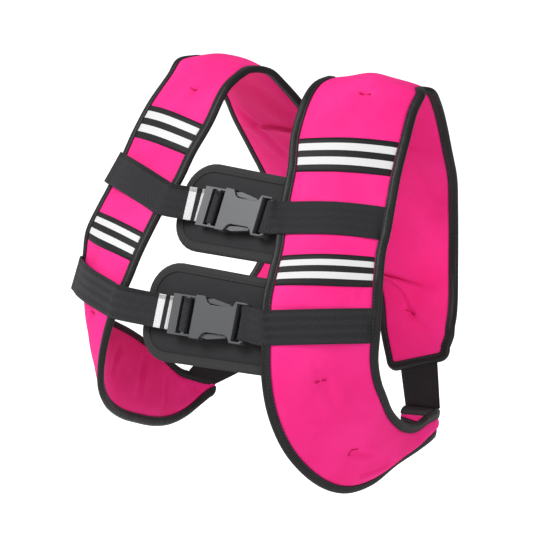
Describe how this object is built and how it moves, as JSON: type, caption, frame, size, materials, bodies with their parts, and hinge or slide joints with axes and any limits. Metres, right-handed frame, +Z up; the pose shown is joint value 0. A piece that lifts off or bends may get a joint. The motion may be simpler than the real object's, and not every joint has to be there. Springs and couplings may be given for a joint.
{
  "type": "weighted vest",
  "caption": "Padded neoprene running vest for weight training, with bound edges, reflective tapes, buckled chest straps on backing pads and elastic side straps.",
  "frame": {"origin": "between the two shoulder rests, at the height of the undersides of the shoulder straps", "axes": "+Z up, -Y is the way the wearer faces, +X is the wearer's left"},
  "size_m": [0.4001, 0.3505, 0.4286],
  "materials": {
    "pink_neoprene": "smooth knit faced neoprene over a loose weight filling",
    "black_neoprene": "charcoal knit faced neoprene",
    "black_binding": "ribbed folded binding tape with a line of stitches",
    "black_webbing": "herringbone webbing, the right straps with two reflective stripes near the buckle",
    "black_elastic": "ribbed woven elastic",
    "reflective_tape": "black tape with two bright reflective stripes",
    "grey_plastic": "fine satin moulded acetal"
  },
  "bodies": {
    "root": {"left_padded_half": "pink_neoprene", "right_padded_half": "pink_neoprene", "neck_binding": "black_binding", "left_armhole_binding": "black_binding", "right_armhole_binding": "black_binding", "left_upper_reflective_tape": "reflective_tape", "right_upper_reflective_tape": "reflective_tape", "left_lower_reflective_tape": "reflective_tape", "right_lower_reflective_tape": "reflective_tape", "left_upper_webbing": "black_webbing", "right_upper_webbing": "black_webbing", "left_lower_webbing": "black_webbing", "right_lower_webbing": "black_webbing", "upper_female_buckle": "grey_plastic", "upper_male_buckle": "grey_plastic", "lower_female_buckle": "grey_plastic", "lower_male_buckle": "grey_plastic", "upper_buckle_pad": "black_neoprene", "upper_pad_binding": "black_binding", "lower_buckle_pad": "black_neoprene", "lower_pad_binding": "black_binding", "left_side_elastic": "black_elastic", "right_side_elastic": "black_elastic"}
  },
  "joints": []
}
